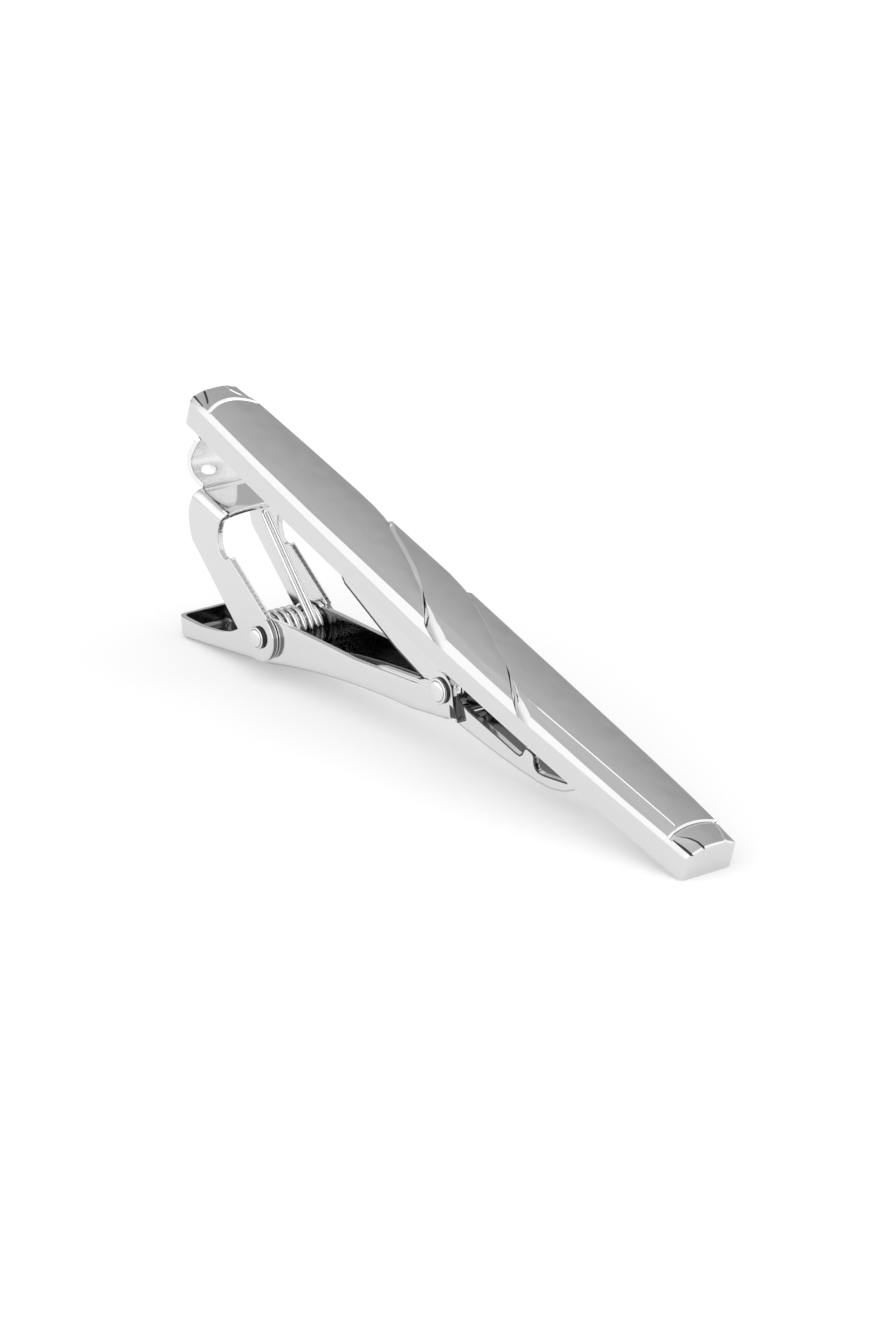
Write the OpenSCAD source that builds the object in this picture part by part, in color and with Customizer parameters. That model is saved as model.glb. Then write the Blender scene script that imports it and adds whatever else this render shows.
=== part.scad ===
// Spring tie clip: a bowed bar over a pinch lever, a nested jaw and a sprung toothed yoke.
// Every outline is drawn in the bar's frame: x along the bar, y to the back, z up, bar's underside at z = 0.
// The clip is then tilted to stand on its lever tip and on the right end of its bar.

/* [Bar] */
// Length of the front bar
bar_l = 60; // [58:0.5:64]
// Width of the bar at its middle
bar_w_mid = 6; // [5.6:0.1:7]
// Width of the bar at its ends
bar_w_end = 4.6; // [4.2:0.1:5]
// Height of the upright side at the middle
bar_side_h = 1.5; // [1.3:0.1:2.2]
// Rise of the bevel for each millimetre inwards
bevel_slope = 1.3; // [0.8:0.1:1.6]
// Height of the crown at the middle line
bar_crown_h = 2.55; // [2.2:0.05:3.2]
// Radius of the crowned top across the bar
crown_r = 9; // [8:0.5:20]
// Radius of the upright corners at the ends
bar_corner_r = 0.8; // [0.4:0.1:1.2]
// Depth of the cuts and grooves in the top
cut_depth = 0.1; // [0.05:0.01:0.2]
// Distance of the end grooves from the ends
groove_in = 1.9; // [1.2:0.1:3]
// Width of the end grooves
groove_w = 0.4; // [0.2:0.05:0.6]

/* [Sheet and widths] */
// Thickness of the bracket and yoke sheet
sheet_heavy = 0.5; // [0.4:0.05:0.6]
// Thickness of the lever and jaw sheet
sheet_light = 0.4; // [0.3:0.05:0.45]
// Outside width of the lever
lever_w = 4.88; // [4.6:0.02:5.2]
// Running gap on each side between sliding sheets
side_gap = 0.06; // [0.04:0.01:0.1]

/* [Pivots] */
// Position of the hinge along the bar
hinge_x = 3.1; // [2.8:0.1:3.4]
// Drop of the hinge below the bar
hinge_drop = 2.15; // [2.1:0.05:2.4]
// Slope of the lever below the bar
lever_slope = 22.98; // [22:0.01:24]
// Distance from the hinge to the yoke pivot along the lever
pivot_u = 21; // [20.6:0.1:21.4]
// Radius of both rivet shanks
shank_r = 0.6; // [0.5:0.05:0.7]
// Fixed fit between a rivet and the sheet it holds
rivet_fit = 0.02; // [0.01:0.01:0.03]
// Running fit between a rivet and the sheet that turns on it
running_fit = 0.05; // [0.03:0.01:0.1]
// Radius of the hinge rivet heads
hinge_head_r = 0.97; // [0.85:0.01:1.1]
// Thickness of the hinge rivet heads
hinge_head_t = 0.5; // [0.3:0.05:0.6]
// Radius of the yoke rivet heads
yoke_head_r = 0.85; // [0.8:0.01:1]
// Thickness of the yoke rivet heads
yoke_head_t = 0.45; // [0.3:0.05:0.6]
// Radius of the yoke rivet's shoulder inside the coil
shoulder_r = 1; // [0.8:0.05:1.05]

/* [Lever] */
// Length of the lever from the hinge to its tip
lever_reach = 32.2; // [31.8:0.1:32.6]
// Depth of the lever's underside below the pivot line
lever_depth = 2.2; // [2.1:0.01:2.3]
// Radius of the lever's lobe at the hinge
hinge_lobe_r = 1.4; // [1.2:0.05:1.45]
// Radius of the lever's lobe at the yoke pivot
pivot_lobe_r = 1.75; // [1.5:0.05:1.8]
// Radius of the tip's corners seen from above
tip_corner_r = 1.4; // [0.8:0.1:1.8]
// Radius of the tip's lower edge seen from the side
tip_edge_r = 0.8; // [0.5:0.1:1]

/* [Bracket] */
// Left end of the bracket along the bar
bracket_left = -12.3; // [-13:0.1:-11]
// Right end of the bracket along the bar
bracket_right = 4.6; // [4.4:0.1:5]
// Thickness of the bracket's base under the bar
base_t = 0.4; // [0.3:0.05:0.45]
// Radius of the ear round the hinge
ear_r = 1.5; // [1.3:0.05:1.55]

/* [Jaw] */
// Closed end of the jaw along the bar
jaw_end = 18.6; // [18:0.1:19.5]
// Left side of the jaw tooth along the bar
tooth_x = 12.15; // [11.5:0.05:12.4]
// Width of the jaw tooth at its tip
tooth_w = 1.15; // [0.9:0.05:1.2]
// Gap between the closed jaw and the bar
jaw_gap = 0.1; // [0.05:0.01:0.2]

/* [Yoke] */
// Depth of the web's top below the bar
web_drop = 3.65; // [3.6:0.05:3.75]
// Radius of the yoke legs at the pivot
leg_r = 1.8; // [1.7:0.05:1.9]
// Radius of the bends between the web and the legs
web_bend_r = 0.8; // [0.6:0.1:1]
// Number of teeth on each leg
teeth = 12; // [8:1:14]
// Depth of the teeth
tooth_depth = 0.18; // [0.1:0.01:0.22]
// Width of the tongue
tongue_w = 4.9; // [4.2:0.1:5.2]
// Thickness of the tongue
tongue_t = 0.45; // [0.35:0.05:0.5]
// Outside radius of the tongue's curl
curl_r = 1.95; // [1.8:0.05:2]
// Gap between the curled tip and the bar
tongue_gap = 0.12; // [0.08:0.01:0.2]
// Radius of the hole in the tongue
hole_r = 0.6; // [0.4:0.05:0.7]

/* [Spring] */
// Thickness of the spring wire
wire_d = 0.36; // [0.3:0.01:0.38]
// Radius of the coil at the middle of the wire
coil_r = 1.58; // [1.54:0.01:1.6]
// Rise of the coil for each turn
coil_pitch = 0.86; // [0.84:0.01:0.9]
// Distance between the two wires of the hairpin
hairpin_w = 0.82; // [0.78:0.01:0.9]
// Number of rings in each turn of the wire
rings = 8; // [8:1:24]

/* [Hidden] */

silver = [0.86, 0.86, 0.87];
steel = [0.72, 0.72, 0.74];
overcut = 1;

// widths of the nested sheets, from the lever's outside both ways
lever_y = lever_w / 2;
jaw_y = lever_y - sheet_light;
ear_y = jaw_y - sheet_light - side_gap;
yoke_in_y = lever_y + side_gap;
yoke_y = yoke_in_y + sheet_heavy;

// pivots
hinge_z = -hinge_drop;
pivot_v = 0.05;
function lever_point(u, v) = [
    hinge_x - u * cos(lever_slope) - v * sin(lever_slope),
    hinge_z - u * sin(lever_slope) + v * cos(lever_slope)];
pivot = lever_point(pivot_u, pivot_v);

// tilt at which the tip's rounded edge and the bar's right end stand on one plane
tip_centre = lever_point(lever_reach - tip_edge_r, -lever_depth + tip_edge_r);
foot_run = bar_l / 2 - tip_centre[0];
foot_drop = tip_centre[1];
tilt = asin(tip_edge_r / norm([foot_run, foot_drop])) - atan2(foot_drop, foot_run);
function tilted_x(p) = p[0] * cos(tilt) + p[1] * sin(tilt);
tip_top_v = -0.37;
left_x = tilted_x(lever_point(lever_reach, -lever_depth + tip_edge_r));
right_x = tilted_x([bar_l / 2, bar_crown_h]);
shift_x = -(left_x + right_x) / 2;
lift = bar_l / 2 * sin(tilt);

// bowed sides and bevels: arcs drawn as flats, because their radii are far larger than the clip
side_bow = (bar_w_mid - bar_w_end) / 2;
bevel_bow = side_bow * 0.6;
side_flats = 20;
bevel_flats = 12;
corner_flats = 6;
function bow_y(x, bow) = bow * pow(2 * x / bar_l, 2);
corner_x = bar_l / 2 - bar_corner_r;
corner_y = bar_w_mid / 2 - bow_y(corner_x, side_bow) - bar_corner_r;

module place() {
    translate([shift_x, 0, lift]) rotate([0, tilt, 0]) children();
}

// a flat outline in x and z, made y0 to y1 thick
module slab(y0, y1) {
    translate([0, y1, 0]) rotate([90, 0, 0]) linear_extrude(y1 - y0) children();
}

// a rod across the clip at x and z
module cross_rod(p, r, y0, y1) {
    translate([p[0], y1, p[1]]) rotate([90, 0, 0]) cylinder(r = r, h = y1 - y0, $fn = 32);
}

// one step of a rivet's heads, t thick, outside y at both sides of the clip
module button_heads(p, y, r, t) {
    for (s = [-1, 1]) cross_rod(p, r, min(s * y, s * (y + t)), max(s * y, s * (y + t)));
}

// the lever's own frame: x from the hinge to the tip, z square to it towards the bar
module in_lever() {
    translate([hinge_x, 0, hinge_z]) rotate([0, -lever_slope, 0]) mirror([1, 0, 0]) children();
}

// front bar
module bevel_cut(s) {
    flat = bar_l / bevel_flats;
    tall = 4 * bar_crown_h;
    for (i = [0 : bevel_flats - 1]) {
        x = (i + 0.5) * flat - bar_l / 2;
        translate([x, -s * (bar_w_mid / 2 - bow_y(x, bevel_bow)), bar_side_h])
            rotate([0, 0, s * atan(8 * bevel_bow * x / pow(bar_l, 2)) + (s > 0 ? 0 : 180)])
                rotate([atan(bevel_slope), 0, 0])
                    translate([-flat, -tall / 2, 0]) cube([2 * flat, tall, tall]);
    }
}

module crown_rod(sink) {
    translate([0, 0, bar_crown_h - crown_r]) rotate([0, 90, 0])
        cylinder(r = crown_r - sink, h = bar_l + 2 * overcut, center = true, $fn = 180);
}

module bar_plan() {
    side = [for (i = [1 : side_flats - 1]) let (x = corner_x * (2 * i / side_flats - 1))
        [x, bar_w_mid / 2 - bow_y(x, side_bow)]];
    corner = [for (a = [0 : 90 / corner_flats : 90])
        [corner_x, corner_y] + bar_corner_r * [sin(a), cos(a)]];
    half = concat([for (i = [corner_flats : -1 : 0]) [-corner[i][0], corner[i][1]]], side, corner);
    polygon(concat(half, [for (p = half) -p]));
}

module groove_plan(x) {
    bow_r = 6;
    intersection() {
        translate([x + bow_r, 0]) difference() {
            circle(r = bow_r + groove_w / 2, $fn = 96);
            circle(r = bow_r - groove_w / 2, $fn = 96);
        }
        translate([x + bow_r / 4, 0]) square([bow_r, bar_w_mid + overcut], center = true);
    }
}

module cuts_plan() {
    groove_plan(-bar_l / 2 + groove_in);
    groove_plan(bar_l / 2 - groove_in - groove_w);
    polygon([[-10.4, 2.1], [-4.9, -0.07], [-1.27, -1.72], [1.2, -3.2], [3.9, -3.2], [2.84, -2.7]]);
    polygon([[-0.1, 1.9], [2.29, 1.05], [6.87, -0.7], [11.9, -3.2],
        [14.6, -3.2], [13.14, -2.48], [10, -1.5]]);
}

module front_bar() {
    color(silver) place() difference() {
        intersection() {
            linear_extrude(bar_crown_h + overcut) bar_plan();
            crown_rod(0);
        }
        bevel_cut(1);
        bevel_cut(-1);
        difference() {
            translate([0, 0, bar_side_h]) linear_extrude(bar_crown_h) cuts_plan();
            crown_rod(cut_depth);
        }
    }
}

// hinge bracket: two ears and a base between them
module ear_outline() {
    left_edge = [[bracket_left, 0], [-9.93, -1.73], [-3.24, -2.97], [0.7, -3.35]];
    polygon(concat(left_edge, [
        [hinge_x - ear_r * sin(14), hinge_z - ear_r * cos(14)],
        [hinge_x + ear_r * cos(10), hinge_z + ear_r * sin(10)],
        [bracket_right, 0]]));
    translate([hinge_x, hinge_z]) circle(r = ear_r, $fn = 40);
}

module hinge_bracket() {
    ear_in_y = ear_y - sheet_heavy;
    color(silver) place() difference() {
        union() {
            for (s = [-1, 1])
                slab(min(s * ear_y, s * ear_in_y), max(s * ear_y, s * ear_in_y)) ear_outline();
            translate([bracket_left + base_t, -ear_in_y - overcut / 10, -base_t])
                cube([bracket_right - bracket_left - 1.5 * base_t, 2 * ear_in_y + overcut / 5, base_t]);
        }
        cross_rod([hinge_x, hinge_z], shank_r + running_fit, -ear_y - overcut, ear_y + overcut);
    }
}

// pinch lever: a channel with lobes at both pivots and a rounded, closed tip
module lever_outline(inset, top) {
    end_u = lever_reach - inset;
    low_v = -lever_depth + inset;
    edge_r = tip_edge_r - inset;
    difference() {
        union() {
            polygon([
                [-1.83 + 4 * inset, -2.05 + inset], [-0.2, low_v], [end_u - edge_r, low_v],
                [end_u - edge_r / 2, low_v + edge_r / 2], [end_u, low_v + edge_r], [end_u, tip_top_v + top],
                [29.19, -0.76 + top], [27, -0.72 + top], [25.2, -0.45 + top], [23.6, 0.3 + top],
                [22.3, 1.26 + top], [20, 1.5 + top], [17.94, 1.33 + top], [14.38, 0.89 + top],
                [11.76, 0.57 + top], [10.23, 0.34 + top], [1.67, -0.05 + top], [-1.2, 0.4 + top],
                [-1.4, -0.2]]);
            translate([end_u - edge_r, low_v + edge_r]) circle(r = edge_r, $fn = 32);
            if (top == 0) {
                circle(r = hinge_lobe_r, $fn = 40);
                translate([pivot_u, pivot_v]) circle(r = pivot_lobe_r, $fn = 40);
            }
        }
        // the underside is raised a little between the pivots
        waist_u = 12.5;
        waist_half = 8.5;
        waist_rise = 0.45;
        waist_r = (pow(waist_half, 2) + pow(waist_rise, 2)) / (2 * waist_rise);
        translate([waist_u, -lever_depth + waist_rise - waist_r])
            circle(r = waist_r + inset, $fn = 720);
    }
}

module lever_plan(inset) {
    corner_r = tip_corner_r - inset;
    half = lever_y - inset;
    back = 3;
    translate([-back, -half]) square([lever_reach - inset - corner_r + back, 2 * half]);
    translate([-back, -half + corner_r])
        square([lever_reach - inset + back, 2 * (half - corner_r)]);
    for (s = [-1, 1])
        translate([lever_reach - inset - corner_r, s * (half - corner_r)]) circle(r = corner_r, $fn = 40);
}

module pinch_lever() {
    deep = 6;
    floor_end = -0.45;
    color(silver) place() in_lever() difference() {
        intersection() {
            slab(-lever_y, lever_y) lever_outline(0, 0);
            translate([0, 0, -deep / 2]) linear_extrude(deep) lever_plan(0);
        }
        intersection() {
            slab(-lever_y, lever_y) lever_outline(sheet_light, 3);
            translate([0, 0, -deep / 2]) linear_extrude(deep + 3) lever_plan(sheet_light);
        }
        // the floor ends before the jaw's floor begins
        translate([-deep, -jaw_y, -deep]) cube([deep + floor_end, 2 * jaw_y, 2 * deep]);
        cross_rod([0, 0], shank_r + rivet_fit, -lever_y - overcut, lever_y + overcut);
        cross_rod([pivot_u, pivot_v], shank_r + running_fit, -lever_y - overcut, lever_y + overcut);
    }
}

// clamp jaw: side walls nested in the lever, one tooth on each, and a closed, curled end
jaw_floor = [[4.9, -3.74], [10.03, -3.25], [14.28, -2.58], [15.67, -2.22], [16.97, -1.59], [17.96, -0.75]];

module jaw_outline() {
    polygon(concat(jaw_floor, [
        [jaw_end - 0.1, -jaw_gap], [jaw_end - 0.5, -jaw_gap],
        [17.08, -0.67], [15.39, -1.37], [14.05, -1.8], [13.6, -1.55],
        [tooth_x + tooth_w, -0.3 - jaw_gap], [tooth_x + tooth_w - 0.25, -jaw_gap],
        [tooth_x + 0.25, -jaw_gap], [tooth_x, -0.3 - jaw_gap], [tooth_x - 0.1, -1.75],
        [9.6, -1.94], [5.84, -2.07], [5.22, -1.97], [4.4, -1.5], [hinge_x, hinge_z],
        lever_point(-0.85, -1.72)]));
    translate([hinge_x, hinge_z]) circle(r = hinge_lobe_r, $fn = 40);
    // tail nested between the lever's walls
    polygon([lever_point(0, 0.9), lever_point(1.67, 0.12), lever_point(7, 0.32),
             lever_point(8.6, -0.2), lever_point(8.2, -1), lever_point(2, -1.2),
             lever_point(0, -0.9)]);
}

module jaw_hollow() {
    t = sheet_light;
    floor_left = jaw_floor[0][0];
    open_left = bracket_left;
    open_low = -9;
    polygon([[floor_left, open_low], [floor_left, -3.74 + t], [9.98, -3.25 + t], [14.18, -2.18],
             [15.5, -1.84], [16.72, -1.26], [17.6, -0.42], [18.05, overcut], [open_left, overcut],
             [open_left, open_low]]);
}

module clamp_jaw() {
    in_y = jaw_y - sheet_light;
    color(silver) place() difference() {
        slab(-jaw_y, jaw_y) jaw_outline();
        slab(-in_y, in_y) jaw_hollow();
        cross_rod([hinge_x, hinge_z], shank_r + rivet_fit, -jaw_y - overcut, jaw_y + overcut);
    }
}

// hinge rivet: a shank with stepped button heads outside the lever
module hinge_rivet() {
    step_r = hinge_head_r * 0.72;
    step_t = hinge_head_t * 0.6;
    h = [hinge_x, hinge_z];
    color(steel) place() {
        cross_rod(h, shank_r, -lever_y, lever_y);
        button_heads(h, lever_y, hinge_head_r, step_t);
        button_heads(h, lever_y, step_r, hinge_head_t);
    }
}

// toothed yoke: two serrated legs, a web across them and a tongue curled up under the bar
leg_left = [[-10.2, 6.65], [-10.5, 4.95], [-10.19, 3.89], [-9.44, 2.67]];
leg_right = [[-5.65, 3.42], [-6.45, 4.07], [-6.8, 5.27], [-6.65, 6.65]];
teeth_from = [0.4, 1.75];
teeth_to = [-5.02, 3.65];

module leg_outline() {
    run = teeth_to - teeth_from;
    out = [-run[1], run[0]] / norm(run);
    saw = [for (i = [0 : teeth - 1]) each [
        teeth_from + run * i / teeth,
        teeth_from + run * (i + 0.5) / teeth - out * tooth_depth]];
    tangent = atan2(leg_left[3][1], leg_left[3][0]) + acos(leg_r / norm(leg_left[3]));
    foot = leg_r * [cos(tangent), sin(tangent)];
    translate(pivot) {
        polygon(concat(leg_left, [foot, [0, 0]], saw, [teeth_to], leg_right));
        circle(r = leg_r, $fn = 48);
    }
}

module web_section(half, top, r) {
    translate([-half, -20]) square([2 * half, top - r + 20]);
    translate([-half + r, -20]) square([2 * (half - r), top + 20]);
    for (s = [-1, 1])
        translate([s * (half - r), top - r]) circle(r = r, $fn = 40);
}

module along_x() {
    translate([-40, 0, 0]) rotate([90, 0, 90]) linear_extrude(40) children();
}

module tongue_outline() {
    curl = [-27.17, -web_drop - tongue_t + curl_r];
    lean = 75;
    root_x = -25.9;
    span_r = 4 * curl_r;
    translate([curl[0], curl[1] - curl_r]) square([root_x - curl[0], tongue_t]);
    translate(curl) intersection() {
        difference() {
            circle(r = curl_r, $fn = 64);
            circle(r = curl_r - tongue_t, $fn = 64);
        }
        polygon([[0, 0], [0, -span_r], [-span_r, -span_r], [-span_r * sin(lean), span_r * cos(lean)]]);
    }
    rise = (-tongue_gap - curl[1] - curl_r * cos(lean)) / sin(lean);
    translate(curl) rotate(90 - lean) translate([-curl_r, 0]) rotate(-2 * (90 - lean))
        square([tongue_t, rise]);
}

module toothed_yoke() {
    color(silver) place() difference() {
        union() {
            intersection() {
                slab(-yoke_y, yoke_y) leg_outline();
                along_x() difference() {
                    web_section(yoke_y, -web_drop, web_bend_r);
                    web_section(yoke_in_y, -web_drop - tongue_t, web_bend_r - tongue_t);
                }
            }
            slab(-tongue_w / 2, tongue_w / 2) tongue_outline();
        }
        cross_rod(pivot, shank_r + rivet_fit, -yoke_y - overcut, yoke_y + overcut);
        translate([-27.9, -0.6, -web_drop - 2 * tongue_t]) cylinder(r = hole_r, h = 2 * overcut, $fn = 32);
    }
}

// yoke rivet: shoulder inside the coil, thin ends through the sheets, button heads
module yoke_rivet() {
    shoulder_y = jaw_y - running_fit;
    step_r = yoke_head_r * 0.75;
    step_t = yoke_head_t * 0.6;
    color(steel) place() {
        cross_rod(pivot, shoulder_r, -shoulder_y, shoulder_y);
        cross_rod(pivot, shank_r, -yoke_y, yoke_y);
        button_heads(pivot, yoke_y, yoke_head_r, step_t);
        button_heads(pivot, yoke_y, step_r, yoke_head_t);
    }
}

// torsion spring: leg, front coil, hairpin to the web, rear coil, leg
// each point of its path is [x, y, z, normal x, normal z]
coil_y0 = -jaw_y + wire_d / 2 + 0.12;
leg_in = 5.5;
web_touch = [-23.5, -web_drop - tongue_t - wire_d / 2 - 0.05];
to_web = web_touch - pivot;
leave = atan2(to_web[1], to_web[0]) - acos(coil_r / norm(to_web));
enter = lever_slope - 90;
front_turn = leave - enter + 720;
rear_turn = leave - enter;
reach = sqrt(pow(norm(to_web), 2) - pow(coil_r, 2)) - hairpin_w / 2;
front_end_y = coil_y0 + coil_pitch * front_turn / 360;
rear_y = front_end_y + hairpin_w;
rear_end_y = rear_y + coil_pitch * rear_turn / 360;
function ring_point(a, y) = [pivot[0] + coil_r * cos(a), y, pivot[1] + coil_r * sin(a), cos(a), sin(a)];
function leg_point(a, along, y) = [
    pivot[0] + coil_r * cos(a) + along * sin(a), y,
    pivot[1] + coil_r * sin(a) - along * cos(a), cos(a), sin(a)];
front_steps = ceil(rings * front_turn / 360);
rear_steps = ceil(rings * rear_turn / 360);
bend_steps = 6;
spring_path = concat(
    [leg_point(enter, leg_in, coil_y0), leg_point(enter, leg_in / 2, coil_y0)],
    [for (i = [0 : front_steps]) ring_point(enter + front_turn * i / front_steps,
        coil_y0 + (front_end_y - coil_y0) * i / front_steps)],
    [leg_point(leave, -reach / 2, front_end_y)],
    [for (i = [0 : bend_steps]) leg_point(leave, -reach - hairpin_w / 2 * sin(180 * i / bend_steps),
        front_end_y + hairpin_w / 2 * (1 - cos(180 * i / bend_steps)))],
    [leg_point(leave, -reach / 2, rear_y)],
    [for (i = [0 : rear_steps]) ring_point(leave - rear_turn * i / rear_steps,
        rear_y + (rear_end_y - rear_y) * i / rear_steps)],
    [leg_point(enter, leg_in / 2, rear_end_y), leg_point(enter, leg_in, rear_end_y)]);
wire_sides = 6;
path_n = len(spring_path);
function place_of(i) = [spring_path[i][0], spring_path[i][1], spring_path[i][2]];
function heading(i) = let (d = place_of(min(i + 1, path_n - 1)) - place_of(max(i - 1, 0))) d / norm(d);
function wire_ring(i) = let (
    n0 = [spring_path[i][3], 0, spring_path[i][4]],
    t = heading(i),
    n1 = n0 - (n0 * t) * t,
    n = n1 / norm(n1),
    b = cross(t, n))
    [for (k = [0 : wire_sides - 1])
        place_of(i) + wire_d / 2 * (cos(360 * k / wire_sides) * n + sin(360 * k / wire_sides) * b)];

// least gap of the wire to itself, on points along it that are more than three quarters of a turn apart
fine = 8;
fine_path = [for (i = [0 : path_n - 2]) for (j = [0 : fine - 1])
    place_of(i) + (place_of(i + 1) - place_of(i)) * j / fine];
skip_points = fine * ceil(rings * 0.75);
spring_gap = min([for (i = [0 : len(fine_path) - 1]) for (j = [i + skip_points : len(fine_path) - 1])
    norm(fine_path[i] - fine_path[j])]) - wire_d;
echo(tilt = tilt, pivot = pivot, spring_gap = spring_gap, rear_end_y = rear_end_y);

module torsion_spring() {
    points = [for (i = [0 : path_n - 1]) each wire_ring(i)];
    m = wire_sides;
    sides = [for (i = [0 : path_n - 2]) for (k = [0 : m - 1]) each [
        [i * m + k, i * m + (k + 1) % m, (i + 1) * m + k],
        [i * m + (k + 1) % m, (i + 1) * m + (k + 1) % m, (i + 1) * m + k]]];
    start = [for (k = [1 : m - 2]) [0, k + 1, k]];
    last = (path_n - 1) * m;
    end = [for (k = [1 : m - 2]) [last, last + k, last + k + 1]];
    color(steel) place() polyhedron(points = points, faces = concat(sides, start, end));
}

front_bar();
hinge_bracket();
pinch_lever();
clamp_jaw();
hinge_rivet();
toothed_yoke();
yoke_rivet();
torsion_spring();
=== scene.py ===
from collections import namedtuple
import bmesh
import bpy
import numpy as np
from mathutils import Matrix


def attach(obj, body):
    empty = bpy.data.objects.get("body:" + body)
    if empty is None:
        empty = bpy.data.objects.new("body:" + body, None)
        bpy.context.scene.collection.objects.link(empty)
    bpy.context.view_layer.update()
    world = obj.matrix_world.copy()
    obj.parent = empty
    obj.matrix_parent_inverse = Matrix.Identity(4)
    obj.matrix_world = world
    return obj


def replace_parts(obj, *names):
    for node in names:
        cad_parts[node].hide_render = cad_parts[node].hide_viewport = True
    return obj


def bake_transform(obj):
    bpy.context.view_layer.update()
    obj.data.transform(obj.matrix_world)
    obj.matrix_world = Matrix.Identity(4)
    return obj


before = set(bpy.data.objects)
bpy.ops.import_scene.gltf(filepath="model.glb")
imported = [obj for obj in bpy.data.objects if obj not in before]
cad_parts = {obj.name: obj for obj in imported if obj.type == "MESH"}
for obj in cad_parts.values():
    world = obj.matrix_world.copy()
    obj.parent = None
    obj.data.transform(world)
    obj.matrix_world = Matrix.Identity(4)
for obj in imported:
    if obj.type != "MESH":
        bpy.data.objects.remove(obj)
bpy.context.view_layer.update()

# Front bar
# One solid bar of white metal, bowed at its sides and crowned on top. Its sides and bevels are polished and
# its top is satin. Two cuts twist across it: the polished bevel runs up into each at the front and down out
# of it at the back. A bowed groove and two small corner facets end it at both sides.

# Where the clip stands. All other sizes are millimetres in the bar's own frame: x along the bar, y to its
# back and z up from its underside.
TILT = np.radians(16.655795)
SHIFT, LIFT = 0.0119645, 8.5986435
BAR_HALF, BAR_HALF_W, SIDE_BOW, CORNER_R = 29.997, 3.0, 0.7, 0.45
CROWN_H, CROWN_R = 2.543, 9.0
# Points nearer than this are one, in metres, and edges sharper than this are rounded, in degrees
WELD, SLIVER, ROUNDED_FROM = 2e-6, 1e-6, 28


def stand(p):
    """Takes points in the bar's own frame, in millimetres, to the clip's standing frame in metres:
    a turn by the tilt about y, then the shift and the lift."""
    p = np.asarray(p, float)
    x = p[..., 0] * np.cos(TILT) + p[..., 2] * np.sin(TILT) + SHIFT
    z = -p[..., 0] * np.sin(TILT) + p[..., 2] * np.cos(TILT) + LIFT
    return np.stack([x, p[..., 1], z], axis=-1) / 1000


def weave_faces(rows, cols, ring=False, cut=None):
    """Quads of a grid whose point (i, j) is number i * cols + j; ring joins the last column to the first,
    and cut is a mask of the quads that are left out."""
    i, j = np.meshgrid(np.arange(rows - 1), np.arange(cols if ring else cols - 1), indexing="ij")
    k = (j + 1) % cols
    quads = np.stack([i * cols + j, i * cols + k, (i + 1) * cols + k, (i + 1) * cols + j], axis=-1)
    return quads[~cut] if cut is not None else quads.reshape(-1, 4)


def metal_piece(name, points, faces, body, materials, looks=None, smooth=35, bevel=0.0, wall=0.0,
                inside=0, ends=0):
    """A mesh of the given points and faces, shaded smooth up to an angle. looks gives each face its
    material. It can have a wall thickness inwards, whose inside and ends take later materials, and rounded
    edges, both in millimetres."""
    mesh = bpy.data.meshes.new(name)
    mesh.from_pydata(stand(points).reshape(-1, 3).tolist(), [], [list(map(int, f)) for f in faces])
    if looks is not None:
        mesh.polygons.foreach_set("material_index", np.asarray(looks, np.int32))
    work = bmesh.new()
    work.from_mesh(mesh)
    bmesh.ops.remove_doubles(work, verts=work.verts, dist=WELD)
    bmesh.ops.dissolve_degenerate(work, dist=SLIVER, edges=work.edges)
    bmesh.ops.recalc_face_normals(work, faces=work.faces)
    work.to_mesh(mesh)
    work.free()
    for m in materials:
        mesh.materials.append(m)
    piece = bpy.data.objects.new(name, mesh)
    bpy.context.collection.objects.link(piece)
    if wall:
        thick = piece.modifiers.new("wall", "SOLIDIFY")
        thick.thickness, thick.offset, thick.use_even_offset = wall / 1000, -1, True
        thick.material_offset, thick.material_offset_rim = inside, ends
    if bevel:
        edge = piece.modifiers.new("edge", "BEVEL")
        edge.width, edge.segments, edge.limit_method = bevel / 1000, 2, "ANGLE"
        edge.angle_limit, edge.use_clamp_overlap = np.radians(ROUNDED_FROM), True
    mesh.shade_smooth()
    mesh.set_sharp_from_angle(angle=np.radians(smooth))
    if body:
        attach(piece, body)
    return piece


def add_node(tree, kind, sockets):
    """A new shader node. sockets gives its inputs, by name or number, a value or another node's output."""
    new = tree.nodes.new(kind)
    for key, value in sockets.items():
        if isinstance(value, bpy.types.NodeSocket):
            tree.links.new(value, new.inputs[key])
        else:
            new.inputs[key].default_value = value
    return new


def polished_metal(name, tone, roughness):
    """Plated metal: faint wipe marks in the gloss, from noise in object coordinates."""
    mat = bpy.data.materials.new(name)
    mat.use_nodes = True
    tree = mat.node_tree
    skin = tree.nodes["Principled BSDF"]
    skin.inputs["Metallic"].default_value = 1
    skin.inputs["Base Color"].default_value = (*tone, 1)
    place = tree.nodes.new("ShaderNodeTexCoord").outputs["Object"]
    wipe = add_node(tree, "ShaderNodeTexNoise", {"Vector": place, "Scale": 900, "Detail": 5})
    gloss = add_node(tree, "ShaderNodeMapRange", {
        "Value": wipe.outputs["Fac"], "From Min": 0.3, "From Max": 0.75,
        "To Min": roughness, "To Max": roughness * 1.3})
    tree.links.new(gloss.outputs["Result"], skin.inputs["Roughness"])
    return mat


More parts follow.
